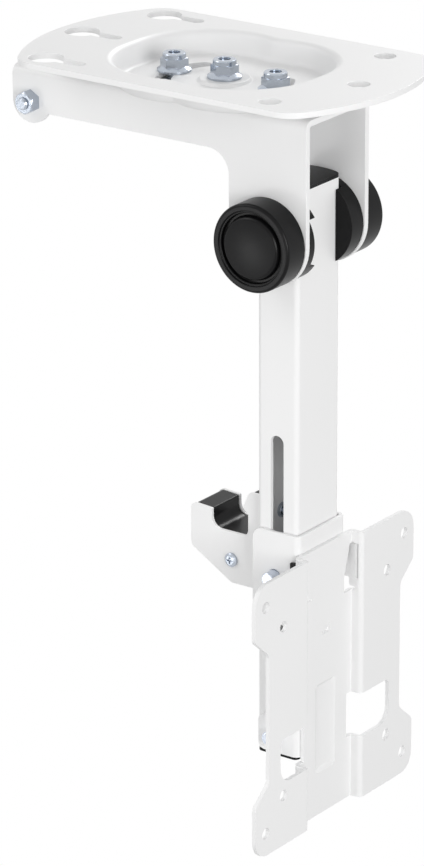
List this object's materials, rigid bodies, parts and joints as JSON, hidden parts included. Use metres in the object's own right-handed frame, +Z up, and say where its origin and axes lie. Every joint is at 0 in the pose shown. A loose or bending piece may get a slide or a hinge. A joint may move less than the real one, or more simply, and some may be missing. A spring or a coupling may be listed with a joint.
{
  "type": "fold-down ceiling tv mount",
  "caption": "Ceiling mount for a small flat screen: a dished plate, a swivelling bracket and a slotted arm that folds up and hooks under the ceiling, with a sliding screen plate.",
  "frame": {"origin": "on the swivel axis, in the plane of the ceiling plate's top face", "axes": "+Z up along the swivel axis; -Y is the way the screen faces while the arm hangs down; +X is to the right of a person looking at the mount from the screen's side"},
  "size_m": [0.1144, 0.1741, 0.3177],
  "materials": {
    "white_steel": "smooth white powder coat, satin",
    "zinc_steel": "bright zinc plate, slightly blue",
    "spring_steel": "plain spring steel, dark grey",
    "black_plastic": "black moulded nylon, satin",
    "natural_plastic": "natural acetal, matt"
  },
  "bodies": {
    "ceiling": {"ceiling_plate": "white_steel", "swivel_washer": "natural_plastic"},
    "bracket": {"swivel_bracket": "white_steel", "pivot_bolt": "zinc_steel", "pivot_nut": "zinc_steel", "guide_bolts": "zinc_steel", "guide_nuts": "zinc_steel", "latch_bolt": "zinc_steel", "latch_nut": "zinc_steel", "latch_roller": "black_plastic", "hinge_bolt": "zinc_steel", "hinge_nut": "zinc_steel", "hinge_washers": "zinc_steel", "spring_washers": "spring_steel", "left_hinge_cap": "black_plastic", "right_hinge_cap": "black_plastic"},
    "hinge_discs": {"left_friction_disc": "black_plastic", "right_friction_disc": "black_plastic", "hinge_bush": "zinc_steel"},
    "arm": {"arm_tube": "white_steel", "top_end_cap": "black_plastic", "bottom_end_cap": "black_plastic", "hook_bracket": "white_steel", "hook_liner": "black_plastic", "liner_screws": "zinc_steel", "hook_screws": "zinc_steel", "hook_nuts": "zinc_steel"},
    "screen_carrier": {"sleeve": "white_steel", "upper_pin": "zinc_steel", "lower_pin": "zinc_steel", "screen_plate": "white_steel", "plate_pads": "black_plastic"}
  },
  "joints": [
    {"name": "swivel", "type": "hinge", "parent": "ceiling", "child": "bracket", "pos_m": [0, 0, 0], "axis": [0, 0, 1], "range_deg": [-35, 35]},
    {"name": "fold", "type": "hinge", "parent": "bracket", "child": "hinge_discs", "pos_m": [0, -0.0364, -0.0644], "axis": [1, 0, 0], "range_deg": [0, 95.4]},
    {"name": "arm_push", "type": "slide", "parent": "hinge_discs", "child": "arm", "axis": [0, 0, 1], "range_m": [0, 0.007]},
    {"name": "height", "type": "slide", "parent": "arm", "child": "screen_carrier", "axis": [0, 0, 1], "range_m": [0, 0.0575]}
  ]
}
